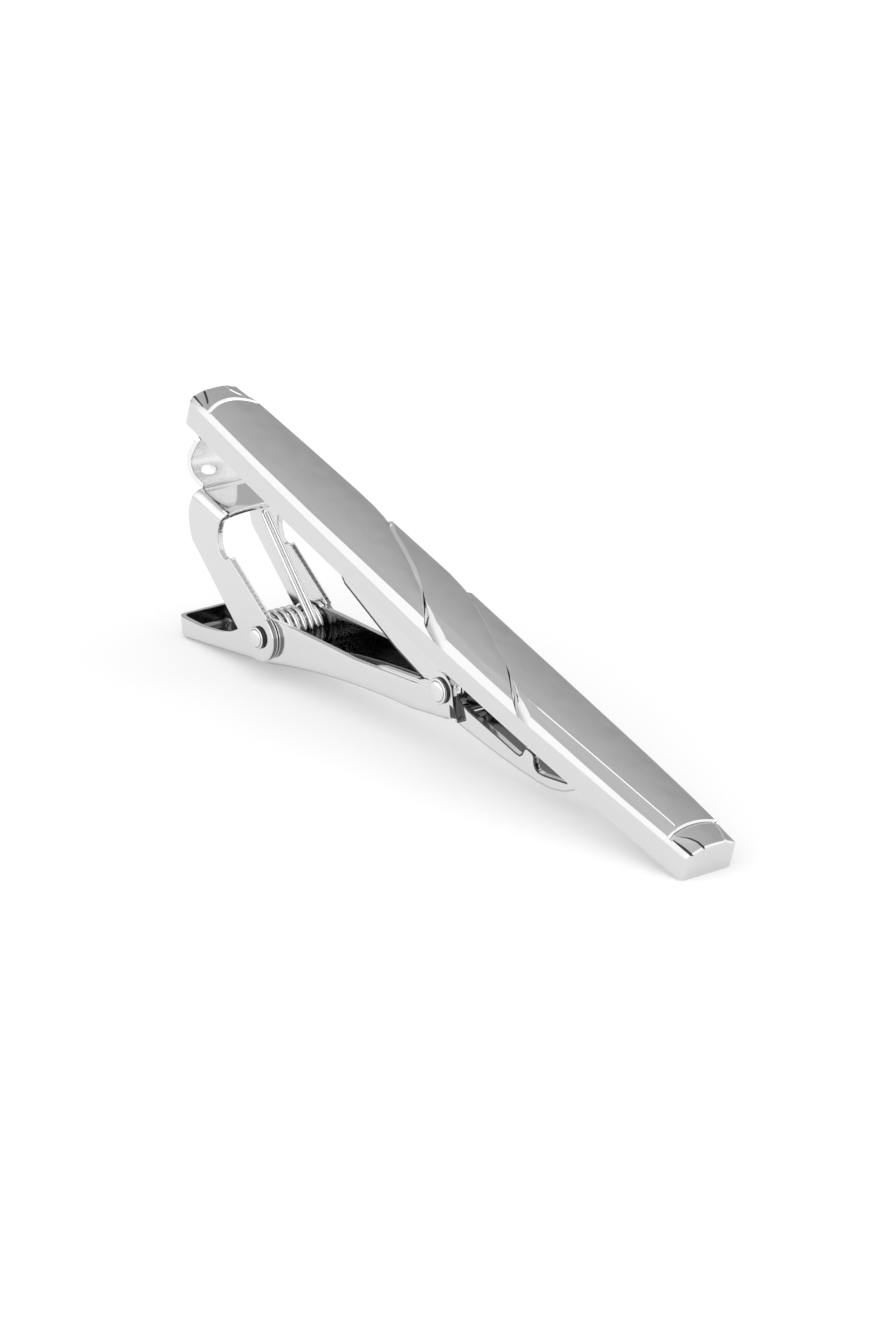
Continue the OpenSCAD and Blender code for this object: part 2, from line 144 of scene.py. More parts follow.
def satin_metal(name, tone, roughness):
    """Satin metal: fine lines along the bar, from noise stretched along the tilted x axis, that move
    its tone and its surface a little."""
    mat = polished_metal(name, tone, roughness)
    tree = mat.node_tree
    skin = tree.nodes["Principled BSDF"]
    place = next(n for n in tree.nodes if n.type == "TEX_COORD").outputs["Object"]
    turn = add_node(tree, "ShaderNodeMapping", {"Vector": place, "Rotation": (0, -TILT, 0)})
    stretch = add_node(tree, "ShaderNodeMapping", {
        "Vector": turn.outputs["Vector"], "Scale": (60, 9000, 9000)})
    lines = add_node(tree, "ShaderNodeTexNoise", {
        "Vector": stretch.outputs["Vector"], "Scale": 1, "Detail": 3})
    bump = add_node(tree, "ShaderNodeBump", {
        "Height": lines.outputs["Fac"], "Strength": 0.08, "Distance": 0.00002})
    tree.links.new(bump.outputs["Normal"], skin.inputs["Normal"])
    shade = add_node(tree, "ShaderNodeMapRange", {
        "Value": lines.outputs["Fac"], "To Min": 0.94, "To Max": 1.06})
    tint = add_node(tree, "ShaderNodeMix", {"Factor": 1})
    tint.data_type, tint.blend_type = "RGBA", "MULTIPLY"
    tint.inputs[6].default_value = (*tone, 1)
    tree.links.new(shade.outputs["Result"], tint.inputs[7])
    tree.links.new(tint.outputs[2], skin.inputs["Base Color"])
    return mat


bar_polish = polished_metal("bar_polish", (0.775, 0.775, 0.78), 0.06)
bar_satin = satin_metal("bar_satin", (0.51, 0.51, 0.515), 0.46)
# Painted shade: a near black metal put where shade falls, in the bar's steps, groove and cap lines and round
# the rivet heads
painted_shade_dark = polished_metal("painted_shade_dark", (0.05, 0.05, 0.052), 0.35)
# Painted highlight: a lighter, glossier copy of the polish for the bar's end chamfers, groove flanks, crease
# lines and the first step's top
painted_gleam = polished_metal("painted_gleam", (0.96, 0.96, 0.965), 0.05)


def through(knots, at):
    """The values at some places of the straight lines through knots of (place, value)."""
    return np.interp(at, *zip(*knots))


def crown(y):
    """Height of the crowned top: a circle across the bar."""
    return CROWN_H - CROWN_R + np.sqrt(CROWN_R ** 2 - y ** 2)


def level(x):
    """A straight line across the bar."""
    return [(-BAR_HALF_W, x), (BAR_HALF_W, x)]


def bowed(x, middle, spread):
    """An arc: x plus the square of the distance from a middle y, over a spread."""
    return [(y, x + (y - middle) ** 2 / spread) for y in np.linspace(-BAR_HALF_W, BAR_HALF_W, 25)]


def moved(line, front, back):
    """The same line, moved along x by one amount at its front end and another at its back end."""
    return [(y, x + front + (back - front) * (y + BAR_HALF_W) / (2 * BAR_HALF_W)) for y, x in line]


# Lines across the bar, seen from above, as (y, x) knots from front to back. STEP_1 is the far side of the
# step that the first cut makes.
CUT_1 = [(-3, 1.9), (-2.77, 0.36), (-0.9, -2.9), (0.14, -5.42), (0.99, -7.87), (1.78, -10.1), (2.4, -11.1),
         (3, -12.4)]
CUT_2 = [(-3, 12.0), (-2.54, 10.5), (-0.73, 6.9), (1.03, 2.2), (1.81, -0.12), (2.4, -0.9), (3, -2.4)]
STEP_WIDTHS = (0.26, 0.26, 0.36, 0.8, 0.9, 0.75, 0.6, 0.45)
STEP_1 = [(y, x + step) for (y, x), step in zip(CUT_1, STEP_WIDTHS)]
LEFT_BOW, RIGHT_BOW, GROOVE_DEPTH = (-0.2, 6.5), (0.2, 16), 0.1

# The ends: distances of the rows from the end, the depth of the small chamfer at some of them, and how far
# in the chamfer takes the painted highlight
END_ROWS = [0, 0.015, 0.05, 0.11, 0.2, 0.32, 0.47, 0.62, 0.8, 1.0, 1.3, 1.5]
END_CHAMFER = {0: 0.13, 0.015: 0.08, 0.05: 0.035}
END_GLEAM = 0.11

# Materials of the bar, by number: polish, satin, a painted shade and a painted highlight
WHITE, SATIN, PAINTED_SHADE, GLEAM = 0, 1, 2, 3

# A station is a line across the bar, with the number of rows up to it from the last one. There the satin
# top's front and back borders can be pulled in to some distance from the middle. The top lies at a depth
# under the crown, and all but its front part lies lower by a back_depth. bevel and top are the materials of
# the rows.
Station = namedtuple("Station", "line rows border_f border_b depth back_depth bevel top",
                     defaults=(1, None, None, 0, 0, WHITE, SATIN))

left_end = [Station(level(d - BAR_HALF), depth=END_CHAMFER.get(d, 0), top=GLEAM if d <= END_GLEAM else SATIN)
            for d in END_ROWS]
# The left groove's flanks take the painted highlight
left_groove = [Station(bowed(x, *LEFT_BOW), depth=depth, top=top) for x, depth, top in (
    (-28.33, 0, SATIN), (-28.17, GROOVE_DEPTH, GLEAM), (-27.98, 0, GLEAM))]
first_cut = [
    Station(moved(CUT_1, -5, -3.6), rows=24),
    Station(moved(CUT_1, -3, -1.6), rows=3, border_b=2.42, back_depth=0.02),
    Station(moved(CUT_1, -1.2, -0.6), rows=3, border_b=2.25, back_depth=0.06),
    Station(CUT_1, rows=3, border_b=1.95, back_depth=0.13),
    # The step's bevel is painted shade, and its top a painted highlight
    Station(STEP_1, rows=4, border_f=0.9, bevel=PAINTED_SHADE, top=GLEAM),
    Station([(-3, 2.6), (-1.47, -1.46), (0, -3.9), (2.4, -10), (3, -11.2)], rows=3, border_f=1.47),
    Station([(-3, 3.1), (-2.09, 0.74), (0, -2.6), (2.4, -8.2), (3, -9.2)], rows=3, border_f=2.09),
    Station([(-3, 3.7), (-2.62, 2.72), (0, -0.2), (2.4, -5.6), (3, -6.6)], rows=3)]
second_cut = [
    Station(moved(CUT_2, -4, -2.4), rows=7),
    Station(moved(CUT_2, -2.2, -1.3), rows=3, border_b=2.42),
    Station(moved(CUT_2, -1, -0.5), rows=3, border_b=2.25, back_depth=0.04),
    Station(CUT_2, rows=3, border_b=1.98, back_depth=0.07),
    # The step's bevel is painted shade
    Station(moved(CUT_2, 0.26, 0.2), rows=4, border_f=0.73, bevel=PAINTED_SHADE),
    Station([(-3, 12.6), (-1.31, 8.61), (0, 5.4), (2.4, 0.4), (3, -0.8)], rows=3, border_f=1.31),
    Station([(-3, 13.2), (-1.99, 10.52), (0, 7), (2.4, 2.4), (3, 1.4)], rows=3, border_f=1.99),
    Station([(-3, 13.8), (-2.55, 12.63), (0, 9.4), (2.4, 5), (3, 4.2)], rows=3)]
# The right groove's flanks take the painted highlight and its bottom row painted shade
right_groove = [Station(bowed(x, *RIGHT_BOW), rows=n, depth=depth, top=top) for x, n, depth, top in (
    (26.75, 24, 0, SATIN), (27.3, 2, 0, SATIN), (27.47, 1, GROOVE_DEPTH, GLEAM),
    (27.53, 1, GROOVE_DEPTH, PAINTED_SHADE), (27.8, 1, 0, GLEAM))]
right_end = [Station(level(BAR_HALF - d), depth=END_CHAMFER.get(d, 0), top=GLEAM if d < END_GLEAM else SATIN)
             for d in END_ROWS[-2::-1]]
stations = left_end + left_groove + first_cut + second_cut + right_groove + right_end

# Sizes that change along the bar, as (x, size) knots: the satin top's half width, the height of the upright
# sides, the drop of the satin's rim under the crown, and the distance of the crease lines from the middle
SATIN_HALF = [(-30, 1.95), (-28, 2.12), (-21.4, 2.37), (-12.6, 2.55), (-8.5, 2.57), (-1, 2.62), (3.7, 2.58),
              (8.4, 2.56), (10.7, 2.54), (15.2, 2.5), (19.7, 2.46), (24, 2.34), (26.5, 2.2), (30, 2.0)]
SIDE_H_FRONT = [(-30, 1.86), (-21.4, 1.78), (-17, 1.73), (-12.6, 1.69), (-8.5, 1.66), (-3.5, 1.56),
                (-1, 1.47), (3.7, 1.45), (8.4, 1.48), (10.7, 1.49), (13, 1.55), (15.2, 1.61), (17.4, 1.66),
                (19.7, 1.71), (24, 1.77), (30, 1.86)]
SIDE_H_BACK = [(-30, 1.86), (-19.7, 1.7), (-10.7, 1.52), (-3.7, 1.5), (8.5, 1.66), (17, 1.73), (30, 1.86)]
RIM_DROP_FRONT = [(-30, 0.2), (-28.5, 0.16), (-28, 0), (0, 0), (3.7, 0.12), (8.4, 0.18), (10.7, 0.19),
                  (15.2, 0.15), (19.7, 0.11), (24, 0.13), (27, 0.15), (30, 0.2)]
RIM_DROP_BACK = [(0, 0), (28, 0), (28.5, 0.16), (30, 0.2)]
CREASE_FRONT = [(-30, 1.1), (-29.7, 1.12), (-28.8, 1.5), (-28.2, 1.85), (-27, 1.8), (3, 1.8), (5, 1.78),
                (8.3, 2.0), (13.7, 1.74), (27, 1.2), (27.9, 1.9), (28.3, 1.46), (28.75, 1.15), (29.3, 0.9),
                (30, 0.9)]
CREASE_BACK = [(-30, 0.9), (-29.3, 0.9), (-28.75, 1.15), (-28.3, 1.46), (-27.9, 1.9), (-27, 1.8), (27, 1.8),
               (28.2, 1.85), (28.8, 1.5), (29.7, 1.12), (30, 1.1)]
RIM_ROOM, CREASE_ROOM = 0.04, 0.12

# The crease lines: half widths of the nick on the end caps, on the long line at the front and where none is
# seen, and by how much the nick is less deep than that. The long line grows from LINE_FROM to LINE_FULL and
# stops at the right groove.
CAP_X, CAP_NICK, LINE_NICK, NO_NICK, SEEN_NICK, NICK_LESS = 28, 0.1, 0.045, 0.004, 0.01, 0.02
LINE_FROM, LINE_FULL, LINE_END, LINE_HOLD, CAP_FROM, CREASE_Y = 13.5, 14.5, 27.45, 27, 27.6, -1.5
# Where the back_depth starts and over what distance it grows
BACK_FROM, BACK_RUN = -1.3, 0.9


def half_width(x):
    """Half width of the bar: it falls with the square of x, and the corners at the ends are round."""
    corner_x = BAR_HALF - CORNER_R
    inner = BAR_HALF_W - SIDE_BOW * (corner_x / BAR_HALF) ** 2 - CORNER_R
    past = np.clip(np.abs(x) - corner_x, 0, CORNER_R)
    bow = BAR_HALF_W - SIDE_BOW * (x / BAR_HALF) ** 2
    return np.where(past > 0, inner + np.sqrt(np.maximum(CORNER_R ** 2 - past ** 2, 0)), bow)


def spread_rows(values):
    """Straight steps from each station's value to the next one's, as many as its rows say."""
    parts = [a + (b - a) * (np.arange(1, s.rows + 1) / s.rows).reshape(-1, *[1] * np.ndim(a))
             for a, b, s in zip(values[:-1], values[1:], stations[1:])]
    return np.concatenate([np.asarray(values[0])[None]] + parts)


def border_pull(borders, end):
    """How far the satin top's border is pulled in from its usual place, at one end of each row's line."""
    return spread_rows([0.0 if b is None else through(SATIN_HALF, line[end]) - b
                        for b, line in zip(borders, key_lines)])[:, None]


y_knots = np.linspace(-BAR_HALF_W, BAR_HALF_W, 241)
key_lines = [through(s.line, y_knots) for s in stations]
row_lines = spread_rows(key_lines)
front_x, back_x = row_lines[:, :1], row_lines[:, -1:]
crease_end_x = row_lines[:, [np.argmin(np.abs(y_knots - CREASE_Y))]]
pull_f = border_pull([s.border_f for s in stations], 0)
pull_b = border_pull([s.border_b for s in stations], -1)
depth = spread_rows([float(s.depth) for s in stations])[:, None]
back_depth = spread_rows([float(s.back_depth) for s in stations])[:, None]

# the section of each row: half widths, heights of the sides, borders of the satin top and its creases
wide_f, wide_b = half_width(front_x), half_width(back_x)
side_f, side_b = through(SIDE_H_FRONT, front_x), through(SIDE_H_BACK, back_x)
rim_f = np.minimum(through(SATIN_HALF, front_x) - pull_f, wide_f - RIM_ROOM)
rim_b = np.minimum(through(SATIN_HALF, back_x) - pull_b, wide_b - RIM_ROOM)
rim_fz = crown(rim_f) - through(RIM_DROP_FRONT, front_x) * np.clip(1 - pull_f, 0, 1)
rim_bz = crown(rim_b) - through(RIM_DROP_BACK, np.abs(back_x))
crease_x = np.where(crease_end_x > CAP_FROM, crease_end_x, np.minimum(front_x, LINE_HOLD))
crease_f = np.minimum(through(CREASE_FRONT, crease_x), rim_f - CREASE_ROOM)
crease_b = np.minimum(through(CREASE_BACK, back_x), rim_b - CREASE_ROOM)
cap_f, cap_b = np.abs(crease_x) > CAP_X, np.abs(back_x) > CAP_X
line_nick = through([(LINE_FROM, NO_NICK), (LINE_FULL, LINE_NICK)], front_x)
nick_f = np.where(cap_f, CAP_NICK, np.where(crease_end_x < LINE_END, line_nick, NO_NICK))
nick_b = np.where(cap_b, CAP_NICK, NO_NICK)
lined = nick_f > SEEN_NICK
nick_depth_f, nick_depth_b = np.where(lined, nick_f - NICK_LESS, 0), np.where(cap_b, CAP_NICK / 2, 0)

# Columns of the grid across the bar: the front bevel, the satin top with its front rim, the crease lines and
# the middle between them. Then the parts of an even run of columns.
BEVEL, TOP, RIM_LINE, CREASE_LINE_F, MIDDLE, CREASE_LINE_B = (
    slice(2, 8), slice(8, 46), slice(8, 9), slice(13, 15), slice(16, 40), slice(40, 42))
ALL, NOT_LAST, INNER = slice(None), slice(0, -1), slice(1, -1)


def even(a, b, n, part=ALL):
    """Columns in n even steps from a to b, or a part of them."""
    return a + (b - a) * np.linspace(0, 1, n)[None, part]


y = np.concatenate([
    -wide_f * [1, 1],
    even(-wide_f, -rim_f, 7, NOT_LAST),
    even(-rim_f, -crease_f - nick_f, 6, NOT_LAST),
    -crease_f + nick_f * [-1, 0.4, 1],
    even(-crease_f + nick_f, crease_b - nick_b, 26, INNER),
    crease_b + nick_b * [-1, -0.4, 1],
    even(crease_b + nick_b, rim_b, 5, INNER),
    even(rim_b, wide_b, 5),
    wide_b * [1, 1]], axis=1)
z = np.concatenate([
    side_f * [0, 0.5],
    even(side_f, rim_fz, 7, NOT_LAST),
    even(rim_fz, crown(crease_f + nick_f), 6, NOT_LAST),
    crown(crease_f + nick_f * [1, 0, -1]) - nick_depth_f * [0, 1, 0],
    crown(y[:, MIDDLE]),
    crown(crease_b + nick_b * [-1, 0, 1]) - nick_depth_b * [0, 1, 0],
    even(crown(crease_b + nick_b), rim_bz, 5, INNER),
    even(rim_bz, side_b, 5),
    side_b * [0.5, 0]], axis=1)
z[:, TOP] -= depth + back_depth * np.clip((y[:, TOP] - BACK_FROM) / BACK_RUN, 0, 1)
x = np.array([np.interp(a, y_knots, b) for a, b in zip(y, row_lines)])

# the materials: a station's bevel material only shows in the first and last of its rows
rows, cols = x.shape
counts = [s.rows for s in stations[1:]]
edge_rows = [m in (0, n - 1) for n in counts for m in range(n)]
bevel_look = np.where(edge_rows, np.repeat([s.bevel for s in stations[1:]], counts), WHITE)
looks = np.full((rows - 1, cols), WHITE)
looks[:, BEVEL] = bevel_look[:, None]
looks[:, TOP] = np.repeat([s.top for s in stations[1:]], counts)[:, None]
# On the end caps the rim line and one side of each crease are painted shade and the other side a painted
# highlight; the long front crease line is a painted highlight
looks[:, RIM_LINE] = np.where(cap_f[1:], PAINTED_SHADE, looks[:, RIM_LINE])
looks[:, CREASE_LINE_F] = np.where(lined[1:], GLEAM, looks[:, CREASE_LINE_F])
looks[:, CREASE_LINE_F] = np.where(cap_f[1:], [[GLEAM, PAINTED_SHADE]], looks[:, CREASE_LINE_F])
looks[:, CREASE_LINE_B] = np.where(cap_b[1:], [[PAINTED_SHADE, GLEAM]], looks[:, CREASE_LINE_B])
bar_faces = weave_faces(rows, cols, ring=True).tolist()
bar_faces += [list(range(cols)), [(rows - 1) * cols + j for j in range(cols)]]
bar = metal_piece("bar_skin", np.stack([x, y, z], -1), bar_faces, "bar",
                  [bar_polish, bar_satin, painted_shade_dark, painted_gleam], looks=np.append(looks, [WHITE, WHITE]),
                  smooth=12)
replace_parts(bar, "front_bar")

# Hinge bracket
# Stamped from 0.5 mm sheet: a base soldered under the bar with a tapering ear folded down at each side.
# Each ear ends in a round eye for the hinge rivet.
HINGE = np.array([3.1, -2.15])
EAR_R, EAR_Y, EAR_T, BASE_T = 1.5, 1.58, 0.5, 0.4
EAR_LEFT, EAR_RIGHT, BASE_LEFT, BASE_RIGHT = -12.3, 4.6, -11.9, 4.4
MITRE_LEAST = 0.7
sheet_polish = polished_metal("sheet_polish", (0.8, 0.8, 0.805), 0.08)
# Painted shade: near black for the dark lines along plate edges and gaps
sheet_edge_shade = polished_metal("sheet_edge_shade", (0.08, 0.08, 0.082), 0.2)
# Painted shade: dark grey for inner faces and the faces in recesses
sheet_recess_shade = polished_metal("sheet_recess_shade", (0.22, 0.22, 0.225), 0.12)
# Painted shade: mid grey for bends, edges and flanks that turn away from the light
sheet_dim_shade = polished_metal("sheet_dim_shade", (0.58, 0.58, 0.585), 0.2)
# Materials of a stamped plate, by number: the polish, then the near black, dark grey and mid grey painted
# shades
POLISH, EDGE_SHADE, RECESS_SHADE, DIM = 0, 1, 2, 3


def arc(centre, radius, start, stop, n):
    """n points of a circle about centre in x and z, from one angle to another in degrees."""
    a = np.radians(np.linspace(start, stop, n))
    return np.stack([centre[0] + radius * np.cos(a), centre[1] + radius * np.sin(a)], -1)


def stamped_plate(name, outline, y0, y1, body, slot, bevel=0.04, front=POLISH, back=POLISH, rim=POLISH,
                  line=POLISH, inset=0.07):
    """A flat outline in x and z made as thick as y0 to y1, with its edges rounded. front and back are the
    faces' materials, rim and line those of each side of the outline and of the narrow strip along it, whose
    width is inset. The strip's inner line is moved in along the mean of the two sides' normals."""
    outline = np.asarray(outline, float)
    n = len(outline)
    along = np.roll(outline, -1, axis=0) - outline
    along /= np.linalg.norm(along, axis=1, keepdims=True)
    turn = np.sign(np.sum(np.cross(outline, np.roll(outline, -1, axis=0))))
    inward = turn * np.stack([-along[:, 1], along[:, 0]], -1)
    mitre = inward + np.roll(inward, 1, axis=0)
    mitre /= np.maximum(np.sum(mitre ** 2, axis=1, keepdims=True) / 2, MITRE_LEAST)
    inner = outline + inset * mitre
    near = [np.stack([o[:, 0], np.full(n, y0), o[:, 1]], -1) for o in (outline, inner)]
    far = [o + [0, y1 - y0, 0] for o in near]
    i = np.arange(n)
    quads = [np.stack([i + a, (i + 1) % n + a, (i + 1) % n + b, i + b], -1)
             for a, b in ((0, 2 * n), (0, n), (2 * n, 3 * n))]
    faces = np.concatenate(quads).tolist() + [list(i + n), list(i + 3 * n)]
    strip = np.zeros(n, int) + line
    looks = np.concatenate([np.zeros(n, int) + rim, np.where(strip > 0, strip, front),
                            np.where(strip > 0, strip, back), [front, back]])
    return metal_piece(name, np.concatenate(near + far), faces, body,
                       [sheet_polish, sheet_edge_shade, sheet_recess_shade, sheet_dim_shade], looks=looks, bevel=bevel)


ear_left = [[EAR_LEFT, 0], [-9.93, -1.73], [-3.24, -2.97], [0.7, -3.35]]
ear_outline = np.concatenate([ear_left, arc(HINGE, EAR_R, 256, 370, 24), [[EAR_RIGHT, 0]]])
# the strips along the ear's slanted left side are painted near black as shade, and so is its edge at the
# right and along the bar
ear_count = np.arange(len(ear_outline))
for side, name in ((-1, "front_ear"), (1, "back_ear")):
    ear = stamped_plate(name, ear_outline, *sorted([side * EAR_Y, side * (EAR_Y - EAR_T)]), "bar",
                        "bar_metal", line=np.where(ear_count < 3, EDGE_SHADE, POLISH), inset=0.2,
                        rim=np.where(ear_count > len(ear_outline) - 5, EDGE_SHADE, POLISH))
    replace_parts(ear, "hinge_bracket")
base_outline = [[BASE_LEFT, 0], [BASE_LEFT, -BASE_T], [BASE_RIGHT, -BASE_T], [BASE_RIGHT, 0]]
# The base's underside is painted dark grey and its right end near black, as shade
base = stamped_plate("bracket_base", base_outline, EAR_T - EAR_Y, EAR_Y - EAR_T, "bar", "bar_metal",
                     rim=[POLISH, RECESS_SHADE, EDGE_SHADE, POLISH])
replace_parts(base, "hinge_bracket")

# Pinch lever
# A long channel pressed from 0.4 mm sheet, with a round lobe on each wall at both pivots. Its tip is closed
# and rounded for the thumb, and its floor ends just past the hinge, where the jaw's floor takes over.
SLOPE = np.radians(22.98)
LEVER_Y, LEVER_T, LEVER_REACH, LEVER_DEPTH, TIP_R, EDGE_R = 2.44, 0.4, 32.2, 2.2, 0.85, 0.8
PIVOT_U, PIVOT_V, PIVOT_LOBE_R, HINGE_LOBE_R = 21.0, 0.05, 1.75, 1.4
# Along the lever from the hinge: its short end, the stretch with the pivot's lobe, and the start of the tip
STUB_U, NEAR_PIVOT_U, PAST_PIVOT_U, TIP_U = -1.83, 18.6, 24.5, 31
# The upper edge of the walls, as (distance from the hinge, height) knots, made smooth over a window of
# points from SMOOTH_FROM on
LEVER_RIM = [(STUB_U, -2.04), (-HINGE_LOBE_R, -0.2), (HINGE_LOBE_R, -0.1), (1.67, -0.05), (10.23, 0.34),
             (11.76, 0.57), (14.38, 0.89), (17.94, 1.33), (20, 1.5), (22.3, 1.26), (23.6, 0.3),
             (25.2, -0.45), (27, -0.72), (29.19, -0.76), (LEVER_REACH, -0.37)]
FINE, WINDOW, SMOOTH_FROM = 1400, 61, 2
# The floor is raised between hinge and pivot, rises a little at the short end too, and ends at FLOOR_END_U
FLOOR_RISE, RISE_U, RISE_HALF, STUB_RISE, FLOOR_END_U = 0.45, 12.5, 8.5, 0.08, -0.5
# The bends' outer radius, and the most of the wall or the half width that a bend may take
BEND_OUT, BEND_SHARE = 0.55, 0.9
# Columns of the channel: its two bends and its floor
BENDS, FLOOR = [9, 10, -10, -11], slice(9, -9)


def on_lever(u, v):
    """Point of the bar's frame at a distance u from the hinge along the lever and a height v over it."""
    return np.stack([HINGE[0] - u * np.cos(SLOPE) - v * np.sin(SLOPE),
                     HINGE[1] - u * np.sin(SLOPE) + v * np.cos(SLOPE)], -1)


def half_chord(radius, distance):
    """Half the chord of a circle at a distance from its centre: the root of radius^2 - distance^2."""
    return np.sqrt(np.maximum(radius ** 2 - distance ** 2, 0))


def lobe(u, centre_u, centre_v, radius):
    """Height of a round lobe's upper edge, and endlessly far down beside it."""
    return np.where(np.abs(u - centre_u) < radius, centre_v + half_chord(radius, u - centre_u), -np.inf)


def channel(low, rim, wide, bend):
    """Section of a channel open at the top, one row a station: down one wall, round a bend, over the floor,
    round the other bend and up the far wall. Gives y and height."""
    bend = np.minimum(bend, np.minimum(rim - low, wide) * BEND_SHARE)[:, None]
    low, rim, wide = low[:, None], rim[:, None], wide[:, None]
    t = np.linspace(0, 1, 8)[None]
    a = np.radians(np.linspace(0, 90, 7))[None]
    wall_y, wall_v = -wide + 0 * t, rim + (low + bend - rim) * t
    bend_y, bend_v = -wide + bend * (1 - np.cos(a)), low + bend * (1 - np.sin(a))
    floor_y = (-wide + bend) + 2 * (wide - bend) * t
    floor_y = floor_y[:, 1:-1]
    floor_v = low + 0 * floor_y
    ys = np.concatenate([wall_y, bend_y[:, 1:], floor_y, -bend_y[:, ::-1], -wall_y[:, ::-1][:, 1:]], 1)
    vs = np.concatenate([wall_v, bend_v[:, 1:], floor_v, bend_v[:, ::-1], wall_v[:, ::-1][:, 1:]], 1)
    return ys, vs


PIVOT = on_lever(PIVOT_U, PIVOT_V)
ease = 0.5 * (1 - np.cos(np.linspace(0, np.pi, 13)))
u = np.concatenate([
    STUB_U - (STUB_U + HINGE_LOBE_R) * ease[::3][:-1],
    -HINGE_LOBE_R + 2 * HINGE_LOBE_R * ease[:-1],
    np.linspace(HINGE_LOBE_R, NEAR_PIVOT_U, 60)[:-1],
    np.linspace(NEAR_PIVOT_U, PAST_PIVOT_U, 48)[:-1],
    np.linspace(PAST_PIVOT_U, TIP_U, 20)[:-1],
    TIP_U + (LEVER_REACH - TIP_U) * np.sin(np.linspace(0, np.pi / 2, 22))])
fine_u = np.linspace(STUB_U, LEVER_REACH, FINE)
fine_v = np.pad(through(LEVER_RIM, fine_u), WINDOW // 2, mode="edge")
smoothed = np.convolve(fine_v, np.ones(WINDOW) / WINDOW, mode="valid")
rim = np.where(u > SMOOTH_FROM, np.interp(u, fine_u, smoothed), through(LEVER_RIM, u))
rim = np.maximum(rim, lobe(u, 0, 0, HINGE_LOBE_R))
rim = np.maximum(rim, lobe(u, PIVOT_U, PIVOT_V, PIVOT_LOBE_R))
low = -LEVER_DEPTH + FLOOR_RISE * np.clip(1 - ((u - RISE_U) / RISE_HALF) ** 2, 0, None)
low = np.where(u < 0, -LEVER_DEPTH - STUB_RISE * u, low)
round_edge = -LEVER_DEPTH + EDGE_R - half_chord(EDGE_R, u - LEVER_REACH + EDGE_R)
low = np.where(u > LEVER_REACH - EDGE_R, round_edge, low)
round_tip = LEVER_Y - TIP_R + half_chord(TIP_R, u - LEVER_REACH + TIP_R)
wide = np.where(u > LEVER_REACH - TIP_R, round_tip, LEVER_Y)

ys, vs = channel(low, rim, wide, BEND_OUT)
xz = on_lever(u[:, None] + 0 * ys, vs)
lever_grid = np.stack([xz[..., 0], ys, xz[..., 1]], -1)
rows, cols = ys.shape
floor_gap = np.zeros((rows - 1, cols - 1), bool)
floor_gap[u[:-1] < FLOOR_END_U, FLOOR] = True
lever_faces = weave_faces(rows, cols, cut=floor_gap).tolist()
lever_faces.append([(rows - 1) * cols + j for j in range(cols)])
# The outer faces are polished, with mid grey painted shade in the bends and near black painted shade by the
# hinge. After the material of each outer face comes that of the inner face behind it, all of them painted
# shade.
lever_metals = [sheet_polish, sheet_recess_shade, sheet_edge_shade, sheet_dim_shade, sheet_recess_shade]
LEVER_SHADE, LEVER_DIM = 2, 3
# Rows of the short end, rows of the hinge lobe next to it, and the columns below the tops of the walls
STUB_ROWS, LOBE_ROWS, LOWER_COLS = slice(0, 4), slice(4, 7), slice(5, -5)
lever_looks = np.zeros((rows - 1, cols - 1), int)
lever_looks[:, BENDS] = LEVER_DIM
lever_looks[STUB_ROWS] = LEVER_SHADE
lever_looks[LOBE_ROWS, LOWER_COLS] = LEVER_SHADE
lever = metal_piece("lever_skin", lever_grid, lever_faces, "lever", lever_metals,
                    np.append(lever_looks[~floor_gap], POLISH), wall=LEVER_T, inside=1, bevel=0.035)
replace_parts(lever, "pinch_lever")

# Clamp jaw
# A short channel nested between the lever's walls and turning with it. Each wall has one blunt tooth,
# and the closed far end curls up to meet the bar.
JAW_Y, JAW_T = LEVER_Y - LEVER_T, 0.4
# Room between jaw and lever, how far the floor reaches into the walls, and its lift clear of their edges
JAW_FIT, FLOOR_LAP, FLOOR_LIFT = 0.005, 0.03, 0.012
# The lower edge to the right, the window's edge back over the tooth, and the end that hides in the lever
jaw_low = np.array([[4.9, -3.74], [7.5, -3.51], [10.03, -3.25], [12.3, -2.93], [14.28, -2.58], [15.67, -2.22],
                    [16.97, -1.59], [17.96, -0.75], [18.5, -0.1]])
jaw_window = [[18.1, -0.1], [17.08, -0.67], [15.39, -1.37], [14.6, -1.68], [14.05, -1.8], [13.75, -1.72],
              [13.55, -1.5], [13.4, -1.1], [13.28, -0.94], [13.05, -0.86], [12.5, -0.86], [12.3, -0.94],
              [12.18, -1.1], [12.08, -1.6], [11.9, -1.83], [11.5, -1.9], [9.6, -1.94], [5.84, -2.07],
              [5.22, -1.97], [4.6, -1.65]]
nest_u = np.array([1.67, 7, 8.2, 8.6, 8.2, 2, 0.6])
nest_v = np.array([0.12, 0.32, 0.15, -0.3, -1, -1.2, -1.3])
jaw_heel = np.concatenate([arc(HINGE, HINGE_LOBE_R, 262, 286, 5), [on_lever(-0.85, -1.72)]])
jaw_wall = np.concatenate([jaw_low, jaw_window, arc(HINGE, HINGE_LOBE_R, 10, 100, 12),
                           on_lever(nest_u, nest_v), jaw_heel])
